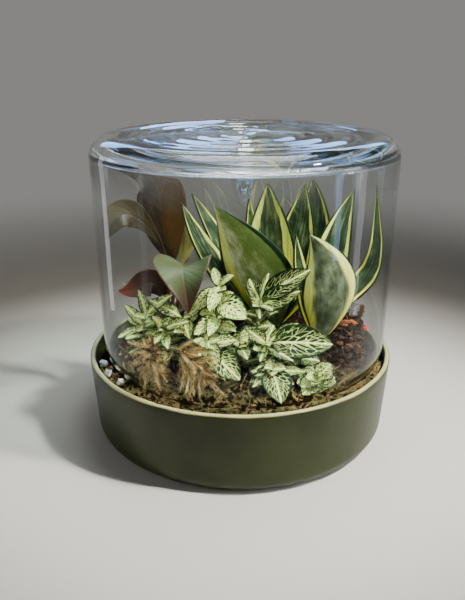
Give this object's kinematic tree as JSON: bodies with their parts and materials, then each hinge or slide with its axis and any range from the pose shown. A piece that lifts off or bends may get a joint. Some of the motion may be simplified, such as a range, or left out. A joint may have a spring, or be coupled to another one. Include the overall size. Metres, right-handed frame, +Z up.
{
  "type": "dome terrarium",
  "caption": "Clear glass vessel turned upside down in a shallow glazed bowl of soil, over small house plants, moss and dry tufts.",
  "frame": {"origin": "centre of the bowl's flat underside, which is also the bottom centre of the whole box", "axes": "+Z up, along the bowl's axis; -Y towards the front of the planting; +X to the front's right"},
  "size_m": [0.3, 0.3, 0.292],
  "materials": {
    "olive_glaze": "satin olive-green glaze",
    "clear_glass": "clear polished glass",
    "white_stone": "pale rounded stone",
    "soil": "moist dark crumbs",
    "straw": "dry straw-coloured blades",
    "moss": "dull green and brown moss",
    "bark": "rough orange-brown bark",
    "bark_end": "red rough end",
    "fittonia_leaf": "dark green with a white net",
    "snake_plant_leaf": "grey-green marbled with yellow bands",
    "philodendron_leaf": "glossy dark red-brown",
    "philodendron_stalk": "smooth red"
  },
  "bodies": {
    "root": {"bowl": "olive_glaze", "glass_dome": "clear_glass", "drainage_stones": "white_stone", "soil": "soil", "philodendron_stems": "philodendron_stalk", "moss_mat": "moss", "bark_chip": "bark", "bark_sliver": "bark", "bark_tip": "bark_end", "fittonia_1": "fittonia_leaf", "fittonia_2": "fittonia_leaf", "fittonia_3": "fittonia_leaf", "fittonia_4": "fittonia_leaf", "fittonia_5": "fittonia_leaf", "fittonia_6": "fittonia_leaf", "fittonia_7": "fittonia_leaf", "fittonia_8": "fittonia_leaf", "fittonia_9": "fittonia_leaf", "fittonia_10": "fittonia_leaf", "fittonia_11": "fittonia_leaf", "snake_plant_1": "snake_plant_leaf", "snake_plant_2": "snake_plant_leaf", "philodendron_leaf_1": "philodendron_leaf", "philodendron_leaf_2": "philodendron_leaf", "philodendron_leaf_3": "philodendron_leaf", "philodendron_leaf_4": "philodendron_leaf", "philodendron_leaf_5": "philodendron_leaf", "straw_tuft_1": "straw", "straw_tuft_2": "straw", "straw_tuft_3": "straw", "white_stone_1": "white_stone", "white_stone_2": "white_stone", "white_stone_3": "white_stone", "white_stone_4": "white_stone", "heather_sprig_1": "bark", "heather_sprig_2": "bark"}
  },
  "joints": []
}
